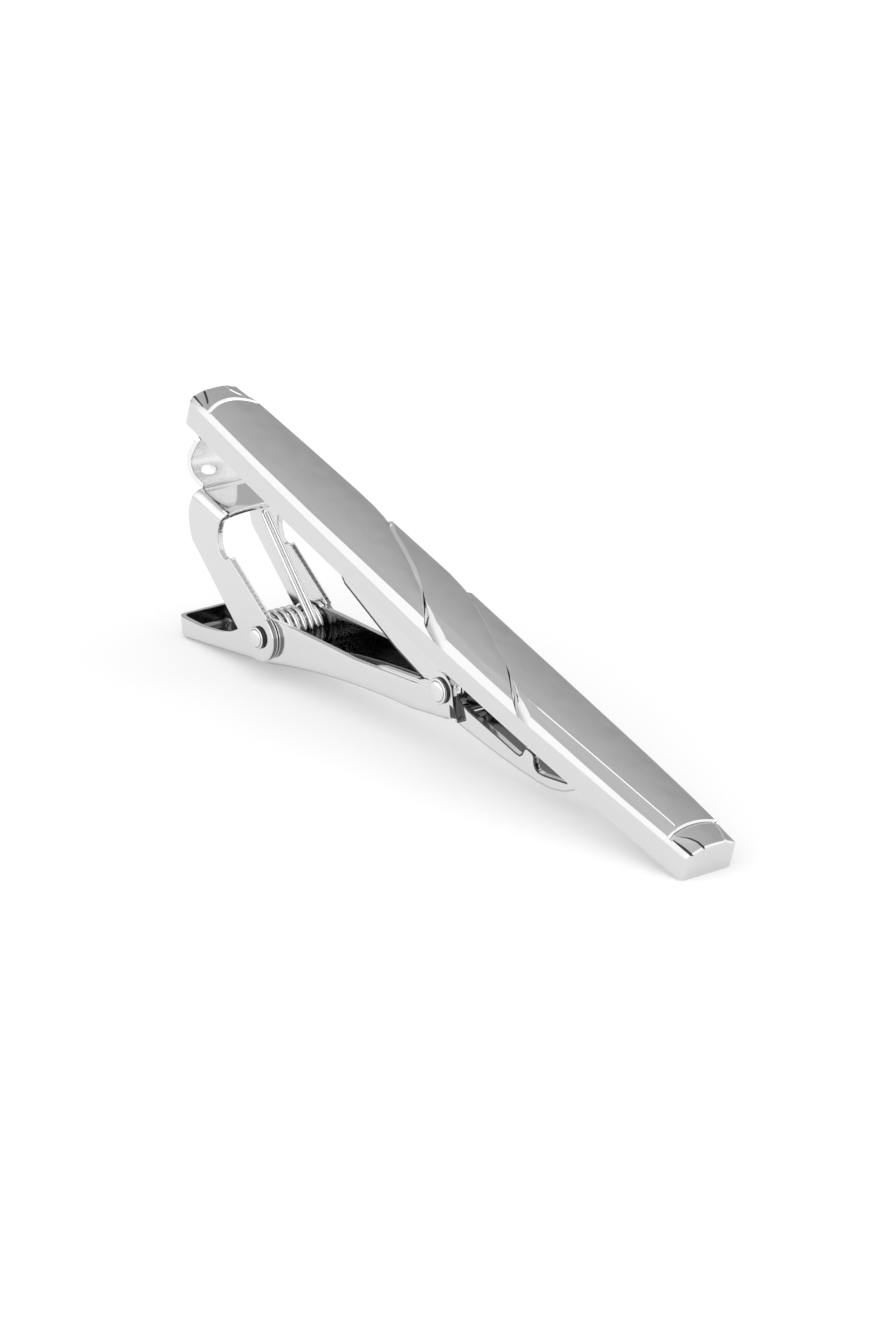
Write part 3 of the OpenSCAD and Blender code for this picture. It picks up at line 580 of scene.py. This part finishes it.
# The window's edge strip is painted near black and the lower edge strip mid grey, as shade. The inner faces,
# the back wall's rim above its lower edge and the front wall's heel are painted dark grey shade.
jaw_count = np.arange(len(jaw_wall))
in_window = (jaw_count > len(jaw_low)) & (jaw_count < len(jaw_low) + len(jaw_window) - 1)
jaw_line = np.where(in_window, EDGE_SHADE, np.where(jaw_count < len(jaw_low) - 1, DIM, POLISH))
for side, name in ((-1, "jaw_front_wall"), (1, "jaw_back_wall")):
    shade_after = len(jaw_wall) - len(jaw_heel) - 1 if side < 0 else len(jaw_low)
    wall = stamped_plate(name, jaw_wall, *sorted([side * (JAW_Y - JAW_FIT), side * (JAW_Y - JAW_T)]),
                         "lever", "sheet_metal", line=jaw_line, inset=0.14,
                         front=RECESS_SHADE if side > 0 else POLISH, back=RECESS_SHADE if side < 0 else POLISH,
                         rim=np.where(jaw_count > shade_after, RECESS_SHADE, POLISH))
    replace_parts(wall, "clamp_jaw")
inner_y = JAW_Y - JAW_T + FLOOR_LAP
across = np.linspace(-inner_y, inner_y, 9)
steps, knots = np.linspace(0, 1, 60), np.linspace(0, 1, len(jaw_low))
floor_x, floor_z = (np.interp(steps, knots, jaw_low[:, k])[:, None] + 0 * across for k in (0, 1))
floor_grid = np.stack([floor_x, across + 0 * floor_x, floor_z + FLOOR_LIFT], -1)
# Its inside and ends are painted dark grey shade
jaw_floor = metal_piece("jaw_floor", floor_grid, weave_faces(len(steps), len(across)), "lever",
                        [sheet_polish, sheet_recess_shade], wall=JAW_T, inside=1, ends=1)
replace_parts(jaw_floor, "clamp_jaw")

# Rivets
# Turned steel rivets with stepped button heads. The hinge rivet holds lever, jaw and ears; the yoke rivet
# has a wide shoulder inside the coil and thin ends through the lever and the yoke.
rivet_polish = polished_metal("rivet_polish", (0.84, 0.84, 0.85), 0.1)
# A head's disc takes this share of its height, with a round edge, and the button this share of its radius.
# The dome ends at DOME_SHARE of its quarter turn, so that its middle is flat.
DISC_SHARE, DISC_EDGE, BUTTON_SHARE, DOME_SHARE = 0.6, 0.1, 0.78, 0.94
# Height and width of the undercut under the disc, and of the small step between disc and button
UNDERCUT, UNDERCUT_IN, LIP, STEP, STEP_DOWN, STEP_UP = 0.16, 0.05, 0.01, 0.03, 0.04, 0.02
# Materials of a rivet, by number: bright metal and the near black painted shade
BRIGHT, SHADE_BLACK = 0, 1


def turned(name, profile, looks, centre, body, n=48):
    """A profile of (radius, y) turned about the line across the clip through centre; looks gives each
    step of the profile its material."""
    profile = np.asarray(profile, float)
    a = np.linspace(0, 2 * np.pi, n, endpoint=False)
    r, h = profile[:, 0][:, None], profile[:, 1][:, None]
    grid = np.stack([centre[0] + r * np.cos(a), h + 0 * a, centre[1] + r * np.sin(a)], -1)
    rows = len(profile)
    faces = weave_faces(rows, n, ring=True).tolist()
    faces += [list(range(n)), [(rows - 1) * n + k for k in range(n)]]
    return metal_piece(name, grid, faces, body, [rivet_polish, painted_shade_dark],
                       looks=np.append(np.repeat(looks, n), [BRIGHT, BRIGHT]), smooth=30)


def rivet(name, centre, core, seat, radius, thick, body, node):
    """A core of (radius, y) steps inwards with a stepped button head at each end: an undercut, a disc with a
    round edge and a domed button. The undercut, the foot of the round edge and the button's outline are
    painted near black, as shade."""
    t = np.linspace(0, np.pi / 2, 6)
    disc, button = seat + thick * DISC_SHARE, radius * BUTTON_SHARE
    neck, dome = radius - UNDERCUT_IN, seat + thick - disc - STEP_UP
    head = np.concatenate([
        [[neck, seat], [neck, seat + UNDERCUT], [radius, seat + UNDERCUT + LIP]],
        np.stack([radius - DISC_EDGE + DISC_EDGE * np.cos(t), disc - DISC_EDGE + DISC_EDGE * np.sin(t)], -1),
        [[button + STEP, disc], [button, disc - STEP_DOWN]],
        np.stack([button * np.cos(t * DOME_SHARE), disc + STEP_UP + dome * np.sin(t)], -1)])
    looks = [SHADE_BLACK] * 2 + [BRIGHT] + [SHADE_BLACK] * 2 + [BRIGHT] * 4 + [SHADE_BLACK] * 2 + [BRIGHT] * 5
    side = np.concatenate([head[::-1], core])
    profile = np.concatenate([side, (side * [1, -1])[::-1]])
    half = looks[::-1] + [BRIGHT] * len(core)
    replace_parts(turned(name, profile, half + [BRIGHT] + half[::-1], centre, body), node)


SHANK_R, SHOULDER_R, SHOULDER_Y, HINGE_SEAT, YOKE_SEAT = 0.6, 1.0, 1.99, LEVER_Y, 3.0
hinge_core = [[SHANK_R, HINGE_SEAT]]
yoke_core = [[SHANK_R, YOKE_SEAT], [SHANK_R, SHOULDER_Y], [SHOULDER_R, SHOULDER_Y]]
rivet("hinge_pin", HINGE, hinge_core, HINGE_SEAT, 0.97, 0.5, "lever", "hinge_rivet")
rivet("yoke_pin", PIVOT, yoke_core, YOKE_SEAT, 0.85, 0.45, "yoke", "yoke_rivet")

# Toothed yoke
# A stirrup stamped from 0.5 mm sheet: two legs with saw teeth on their upper edge, a web folded across them,
# and a tongue with a small round hole that curls up under the bar.
YOKE_Y, YOKE_T, WEB_TOP, WEB_T, BEND_R, LEG_R = YOKE_SEAT, 0.5, -3.65, 0.45, 0.8, 1.8
TEETH, TOOTH, FACE_T, FACE_INSET = 14, 0.2, 0.1, 0.22
# Outline of a leg about the pivot: its left side down to the round end, and its right side up to the web
leg_left = np.array([[-10.5, 4.95], [-10.42, 4.4], [-10.19, 3.89], [-9.9, 3.3], [-9.44, 2.67]])
leg_right = np.array([[-5.02, 3.65], [-5.3, 3.5], [-5.65, 3.42], [-6.1, 3.62], [-6.45, 4.07], [-6.7, 4.6],
                      [-6.8, 5.27]])
saw_from = np.array([0.4, 1.75])
run = leg_right[0] - saw_from
out = np.array([-run[1], run[0]]) / np.linalg.norm(run)
k = np.arange(2 * TEETH)[:, None]
saw = saw_from + run * k / (2 * TEETH) - out * TOOTH * (k % 2)
left_foot = leg_left[-1]
touch = np.degrees(np.arctan2(left_foot[1], left_foot[0]) + np.arccos(LEG_R / np.hypot(*left_foot)))
bend_z = WEB_TOP - BEND_R - PIVOT[1]
round_end = arc((0, 0), LEG_R, touch, 437, 30)
leg_start = np.concatenate([[[-10.38, bend_z]], leg_left[leg_left[:, 1] < bend_z], round_end])
leg_end = np.concatenate([leg_right, [[-6.78, bend_z]]])
toothed = np.concatenate([leg_start, saw, leg_end])
plain_saw = [saw_from - out * FACE_INSET, leg_right[0] - out * FACE_INSET]
plain = np.concatenate([leg_start, plain_saw, leg_end[1:]])
# Each leg is three layers, so that the teeth stand behind a straight face
LAYERS = (("face", plain, 0, FACE_T), ("teeth", toothed, FACE_T, YOKE_T - FACE_T),
          ("lining", plain, YOKE_T - FACE_T, YOKE_T))
# The tooth flanks are painted shade in turn: mid grey and polished at the front, dark grey and mid grey at
# the back. The middle layer's round end is painted dark grey and its back face mid grey, as shade.
for side, name, flanks in ((-1, "front", (DIM, POLISH)), (1, "back", (RECESS_SHADE, DIM))):
    nicks = np.zeros(len(toothed), int)
    nicks[len(leg_start) - len(round_end):len(leg_start)] = RECESS_SHADE
    nicks[len(leg_start):len(leg_start) + len(saw)] = flanks * TEETH
    for layer, outline, y0, y1 in LAYERS:
        is_core = layer == "teeth"
        leg = stamped_plate("yoke_%s_%s" % (name, layer), PIVOT + outline,
                            *sorted([side * (YOKE_Y - y0), side * (YOKE_Y - y1)]), "yoke", "sheet_metal",
                            bevel=0 if is_core else 0.03, back=DIM if is_core else POLISH,
                            rim=nicks if is_core else POLISH, inset=0.02 if is_core else 0.07)
        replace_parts(leg, "toothed_yoke")

# the web and its two bends: rows run across the clip, columns from the left edge to the right one
a = np.radians(np.linspace(0, 90, 9))
bend_y, bend_h = YOKE_Y - BEND_R * (1 - np.cos(a)), WEB_TOP - BEND_R * (1 - np.sin(a))
web_flat = np.linspace(BEND_R - YOKE_Y, YOKE_Y - BEND_R, 15)[1:-1]
web_y = np.concatenate([-bend_y, web_flat, bend_y[::-1]])
web_z = np.concatenate([bend_h, np.full(len(web_flat), WEB_TOP), bend_h[::-1]])
fall = (WEB_TOP - web_z) / BEND_R
left_x = PIVOT[0] - 10.2 - 0.18 * fall
right_x = PIVOT[0] - 6.62 - 0.16 * fall - 0.22 * np.clip(1 - (web_y / 2.2) ** 2, 0, 1)
t = np.linspace(0, 1, 7)
web_x = left_x[:, None] + (right_x - left_x)[:, None] * t
web_grid = np.stack([web_x, web_y[:, None] + 0 * t, web_z[:, None] + 0 * t], -1)
web = metal_piece("yoke_web", web_grid, weave_faces(len(web_y), len(t)), "yoke",
                  [sheet_polish], wall=YOKE_T, bevel=0.06)
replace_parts(web, "toothed_yoke")

# the tongue: a strip along a path that runs left, round the curl and up to the bar, with a punched hole
# A rougher gloss than the other sheet, and a lighter tone that is painted light
sheet_soft_lit = polished_metal("sheet_soft_lit", (0.95, 0.95, 0.955), 0.24)
TONGUE_Y, CURL_R, CURL_TURN, TONGUE_ROOT, TONGUE_UP = 2.45, 1.95, 105, -26.3, 1.66
HOLE_R, HOLE_Y, HOLE_ALONG, PATCH_HALF = 0.62, -1.05, 1.52, 0.95
# The strip narrows by a share over its last stretch
TIP_RUN, TIP_SHARE = 0.5, 0.06
curl = np.array([-27.17, WEB_TOP - WEB_T + CURL_R])
inner_r = CURL_R - WEB_T
straight = TONGUE_ROOT - curl[0]
turn = inner_r * np.radians(CURL_TURN)
length = straight + turn + TONGUE_UP


def along_tongue(s):
    """Upper face of the tongue after a length s: straight to the left, round the curl, then straight up."""
    flat = np.stack([TONGUE_ROOT - s, WEB_TOP + 0 * s], -1)
    a = np.radians(270) - (s - straight) / inner_r
    bent = curl + inner_r * np.stack([np.cos(a), np.sin(a)], -1)
    end = np.radians(270 - CURL_TURN)
    last = curl + inner_r * np.array([np.cos(end), np.sin(end)])
    up = last + (s - straight - turn)[..., None] * np.array([np.sin(end), -np.cos(end)])
    return np.where((s < straight)[..., None], flat, np.where((s < straight + turn)[..., None], bent, up))


def strip_grid(start, stop, n):
    """Points of the flat strip in n rows from one length to another, over its whole width."""
    return np.stack(np.meshgrid(np.linspace(start, stop, n), cross, indexing="ij"), -1)


near_s, far_s = HOLE_ALONG - PATCH_HALF, HOLE_ALONG + PATCH_HALF
cross = np.linspace(-TONGUE_Y, TONGUE_Y, 21)
beside = np.linspace(near_s, far_s, 11)
border = np.concatenate([np.stack([np.full(20, near_s), cross[:-1]], -1),
                         np.stack([beside[:-1], np.full(10, TONGUE_Y)], -1),
                         np.stack([np.full(20, far_s), cross[::-1][:-1]], -1),
                         np.stack([beside[::-1][:-1], np.full(10, -TONGUE_Y)], -1)])
to_border = border - [HOLE_ALONG, HOLE_Y]
hole_edge = to_border / np.linalg.norm(to_border, axis=1, keepdims=True) * HOLE_R
t = np.linspace(0, 1, 7)[:, None, None] ** 1.3
patch = [HOLE_ALONG, HOLE_Y] + hole_edge * (1 - t) + to_border * t
sheets, numbers, first = [], [], 0
root_strip, tip_strip = strip_grid(0, near_s, 6), strip_grid(far_s, length, 26)
for grid, closed in ((root_strip, False), (patch, True), (tip_strip, False)):
    numbers.append(weave_faces(grid.shape[0], grid.shape[1], ring=closed) + first)
    sheets.append(grid.reshape(-1, 2))
    first += grid.shape[0] * grid.shape[1]
flat = np.concatenate(sheets)
xz = along_tongue(flat[:, 0])
tip_round = np.clip((flat[:, 0] - (length - TIP_RUN)) / TIP_RUN, 0, 1)
tongue_points = np.stack([xz[:, 0], flat[:, 1] * (1 - TIP_SHARE * tip_round ** 2), xz[:, 1]], -1)
tongue = metal_piece("yoke_tongue", tongue_points, np.concatenate(numbers), "yoke",
                     [sheet_soft_lit], wall=WEB_T, bevel=0.05)
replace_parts(tongue, "toothed_yoke")

# Torsion spring
# Wound from one length of 0.4 mm wire on the yoke rivet: a leg on the lever's floor, a coil, a hairpin
# up to the yoke's web, a short coil and a second leg.
WIRE, COIL_R, PITCH, HAIRPIN, WIRE_SIDES = 0.4, 1.58, 0.6, 0.45, 12
FRONT_Y, BACK_Y, LEG, FRONT_TURNS, BACK_TURNS = -1.82, 1.8, 5.5, 4, 1
# The room between the wire and the web, and the ends of each straight stretch, left free for the bends
WEB_ROOM, BEND_FREE = 0.05, 0.2
spring_steel = polished_metal("spring_steel", (0.82, 0.82, 0.83), 0.1)
web_touch = np.array([-22.9, WEB_TOP - WEB_T - WIRE / 2 - WEB_ROOM]) - PIVOT
leave = np.degrees(np.arctan2(web_touch[1], web_touch[0]) - np.arccos(COIL_R / np.hypot(*web_touch)))
enter = np.degrees(SLOPE) - 90
reach = np.sqrt(np.hypot(*web_touch) ** 2 - COIL_R ** 2) - HAIRPIN / 2
front_sweep = leave - enter + 360 * FRONT_TURNS
back_sweep = leave - enter + 360 * BACK_TURNS
front_end = FRONT_Y + PITCH * front_sweep / 360
back_start = front_end + HAIRPIN


def coil(start, sweep, y0, y1, n):
    """Points on the coil and the outward direction there: a circle about the pivot that advances across."""
    a, y = np.radians(np.linspace(start, start + sweep, n)), np.linspace(y0, y1, n)
    out = np.stack([np.cos(a), 0 * a, np.sin(a)], -1)
    return np.stack([PIVOT[0] + COIL_R * np.cos(a), y, PIVOT[1] + COIL_R * np.sin(a)], -1), out


def tangent(angle, distance, y):
    """Points at some distances along the line that touches the coil at an angle, against its winding."""
    a = np.radians(angle)
    d = np.asarray(distance, float)
    out = np.broadcast_to([np.cos(a), 0, np.sin(a)], (len(d), 3))
    return np.stack([PIVOT[0] + COIL_R * np.cos(a) + d * np.sin(a), y + 0 * d,
                     PIVOT[1] + COIL_R * np.sin(a) - d * np.cos(a)], -1), out


bend = np.linspace(0, np.pi, 15)
leg_run, arm_run = np.linspace(LEG, BEND_FREE, 12), np.linspace(BEND_FREE, reach - BEND_FREE, 16)
pieces = [tangent(enter, leg_run, FRONT_Y),
          coil(enter, front_sweep, FRONT_Y, front_end, 190),
          tangent(leave, -arm_run, front_end),
          tangent(leave, -reach - HAIRPIN / 2 * np.sin(bend), front_end + HAIRPIN / 2 * (1 - np.cos(bend))),
          tangent(leave, -arm_run[::-1], back_start),
          coil(leave, -back_sweep, back_start, BACK_Y, 64),
          tangent(enter, leg_run[::-1], BACK_Y)]
path = np.concatenate([p for p, _ in pieces])
normal = np.concatenate([n for _, n in pieces])
heading = np.gradient(path, axis=0)
heading /= np.linalg.norm(heading, axis=1, keepdims=True)
normal = normal - heading * np.sum(normal * heading, 1, keepdims=True)
normal /= np.linalg.norm(normal, axis=1, keepdims=True)
side = np.cross(heading, normal)
a = np.linspace(0, 2 * np.pi, WIRE_SIDES, endpoint=False)[None, :, None]
tube = path[:, None] + WIRE / 2 * (np.cos(a) * normal[:, None] + np.sin(a) * side[:, None])
wire_ends = [list(range(WIRE_SIDES)), [(len(path) - 1) * WIRE_SIDES + k for k in range(WIRE_SIDES)]]
wire_faces = weave_faces(len(path), WIRE_SIDES, ring=True).tolist() + wire_ends
spring = metal_piece("spring_wire", tube, wire_faces, None, [spring_steel], smooth=60)
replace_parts(spring, "torsion_spring")
pivot_m = stand([PIVOT[0], 0, PIVOT[1]])
toward = stand([PIVOT[0] + web_touch[0], 0, PIVOT[1] + web_touch[1]]) - pivot_m
toward = toward / np.linalg.norm(toward)
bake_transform(spring)

# Floor
# A white sheet under the clip, in metres, as the lamp is. Its glow makes the paper look white to the camera
# and lights the clip less.
FLOOR_HALF = 2.5
mesh = bpy.data.meshes.new("floor")
corners = [(sx * FLOOR_HALF, sy * FLOOR_HALF, 0) for sx, sy in ((-1, -1), (1, -1), (1, 1), (-1, 1))]
mesh.from_pydata(corners, [], [(0, 1, 2, 3)])
floor = bpy.data.objects.new("floor", mesh)
bpy.context.collection.objects.link(floor)
paper = bpy.data.materials.new("white_paper")
paper.use_nodes = True
tree = paper.node_tree
base = tree.nodes["Principled BSDF"]
base.inputs["Base Color"].default_value = (0.8, 0.8, 0.8, 1)
base.inputs["Roughness"].default_value = 0.9
base.inputs["Specular IOR Level"].default_value = 0
rays = tree.nodes.new("ShaderNodeLightPath")
lift = add_node(tree, "ShaderNodeMath", {0: rays.outputs["Is Camera Ray"], 1: 0.09, 2: 0.12})
lift.operation = "MULTIPLY_ADD"
glow = add_node(tree, "ShaderNodeEmission", {"Strength": lift.outputs[0]})
both = add_node(tree, "ShaderNodeAddShader", {0: base.outputs[0], 1: glow.outputs[0]})
tree.links.new(both.outputs[0], tree.nodes["Material Output"].inputs["Surface"])
mesh.materials.append(paper)

# Light
# An even white sky, greyer at the back left, where the top mirrors it, and brighter in front and at the
# right. A soft square lamp above gives the shadow under the clip.
world = bpy.data.worlds.new("studio")
world.use_nodes = True
tree = world.node_tree
sky = tree.nodes["Background"]
where = tree.nodes.new("ShaderNodeTexCoord")
split = add_node(tree, "ShaderNodeSeparateXYZ", {0: where.outputs["Generated"]})


def ramp(socket, low, high, from_value, to_value):
    """A smooth change from one value to another while a socket goes from low to high."""
    step = add_node(tree, "ShaderNodeMapRange", {
        "Value": socket, "From Min": low, "From Max": high, "To Min": from_value, "To Max": to_value})
    step.interpolation_type = "SMOOTHSTEP"
    return step.outputs["Result"]


def joined(operation, a, b):
    """The sum or product of two sockets, or of a socket and a number."""
    node = add_node(tree, "ShaderNodeMath", {0: a, 1: b})
    node.operation = operation
    return node.outputs[0]


to_left = ramp(split.outputs["X"], -0.3, 0.05, 1, 0)
to_back = ramp(split.outputs["Y"], -0.1, 0.2, 0, 1)
grey = joined("MULTIPLY", joined("MULTIPLY", to_left, to_back), -0.25)
panel = ramp(split.outputs["Y"], -0.65, -0.2, 0.9, 0)
bright_right = ramp(split.outputs["X"], -0.1, 0.15, 0, 0.5)
sky_light = joined("ADD", joined("ADD", joined("ADD", grey, panel), bright_right), 1.0)
rays = tree.nodes.new("ShaderNodeLightPath")
seen = tree.nodes.new("ShaderNodeMix")
seen.data_type = "RGBA"
seen.inputs[7].default_value = (1.52, 1.52, 1.52, 1)
tree.links.new(rays.outputs["Is Camera Ray"], seen.inputs["Factor"])
tree.links.new(sky_light, seen.inputs[6])
tree.links.new(seen.outputs[2], sky.inputs["Color"])
sky.inputs["Strength"].default_value = 0.65
bpy.context.scene.world = world

key = bpy.data.lights.new("key", "AREA")
key.shape, key.size, key.size_y, key.energy = "RECTANGLE", 0.5, 0.5, 0.45
lamp = bpy.data.objects.new("key", key)
bpy.context.collection.objects.link(lamp)
lamp.location = (0.05, 0.1, 0.5)
lamp.rotation_euler = (np.radians(11), np.radians(6), 0)

# Camera
# Far away with a long lens, at the photograph's place and angle. Its axes are in the bar's frame, and its
# focal length and offset are in pixels of the photograph.
EYE, FOCAL, OFFSET_X, OFFSET_Y = (253.79, -244.91, 232.33), 5946.6, 1.7, -2.6
IMAGE_H, SENSOR_H = 1332, 36
RIGHT, DOWN, AHEAD = (0.587, 0.7876, 0.1875), (0.5448, -0.213, -0.811), (-0.5988, 0.5782, -0.5542)
tilted = np.array([[np.cos(TILT), 0, np.sin(TILT)], [0, 1, 0], [-np.sin(TILT), 0, np.cos(TILT)]])
basis = np.eye(4)
for column, axis in enumerate((tilted @ RIGHT, -(tilted @ DOWN), -(tilted @ AHEAD), stand(EYE))):
    basis[:3, column] = axis
view = bpy.data.cameras.new("view")
view.sensor_fit, view.sensor_height, view.lens = "VERTICAL", SENSOR_H, FOCAL / IMAGE_H * SENSOR_H
view.shift_x, view.shift_y = OFFSET_X / IMAGE_H, OFFSET_Y / IMAGE_H
view.clip_start, view.clip_end = 0.01, 10
camera = bpy.data.objects.new("view", view)
bpy.context.collection.objects.link(camera)
camera.matrix_world = Matrix(basis.tolist())
scene = bpy.context.scene
scene.camera = camera
scene.view_settings.view_transform = "Standard"
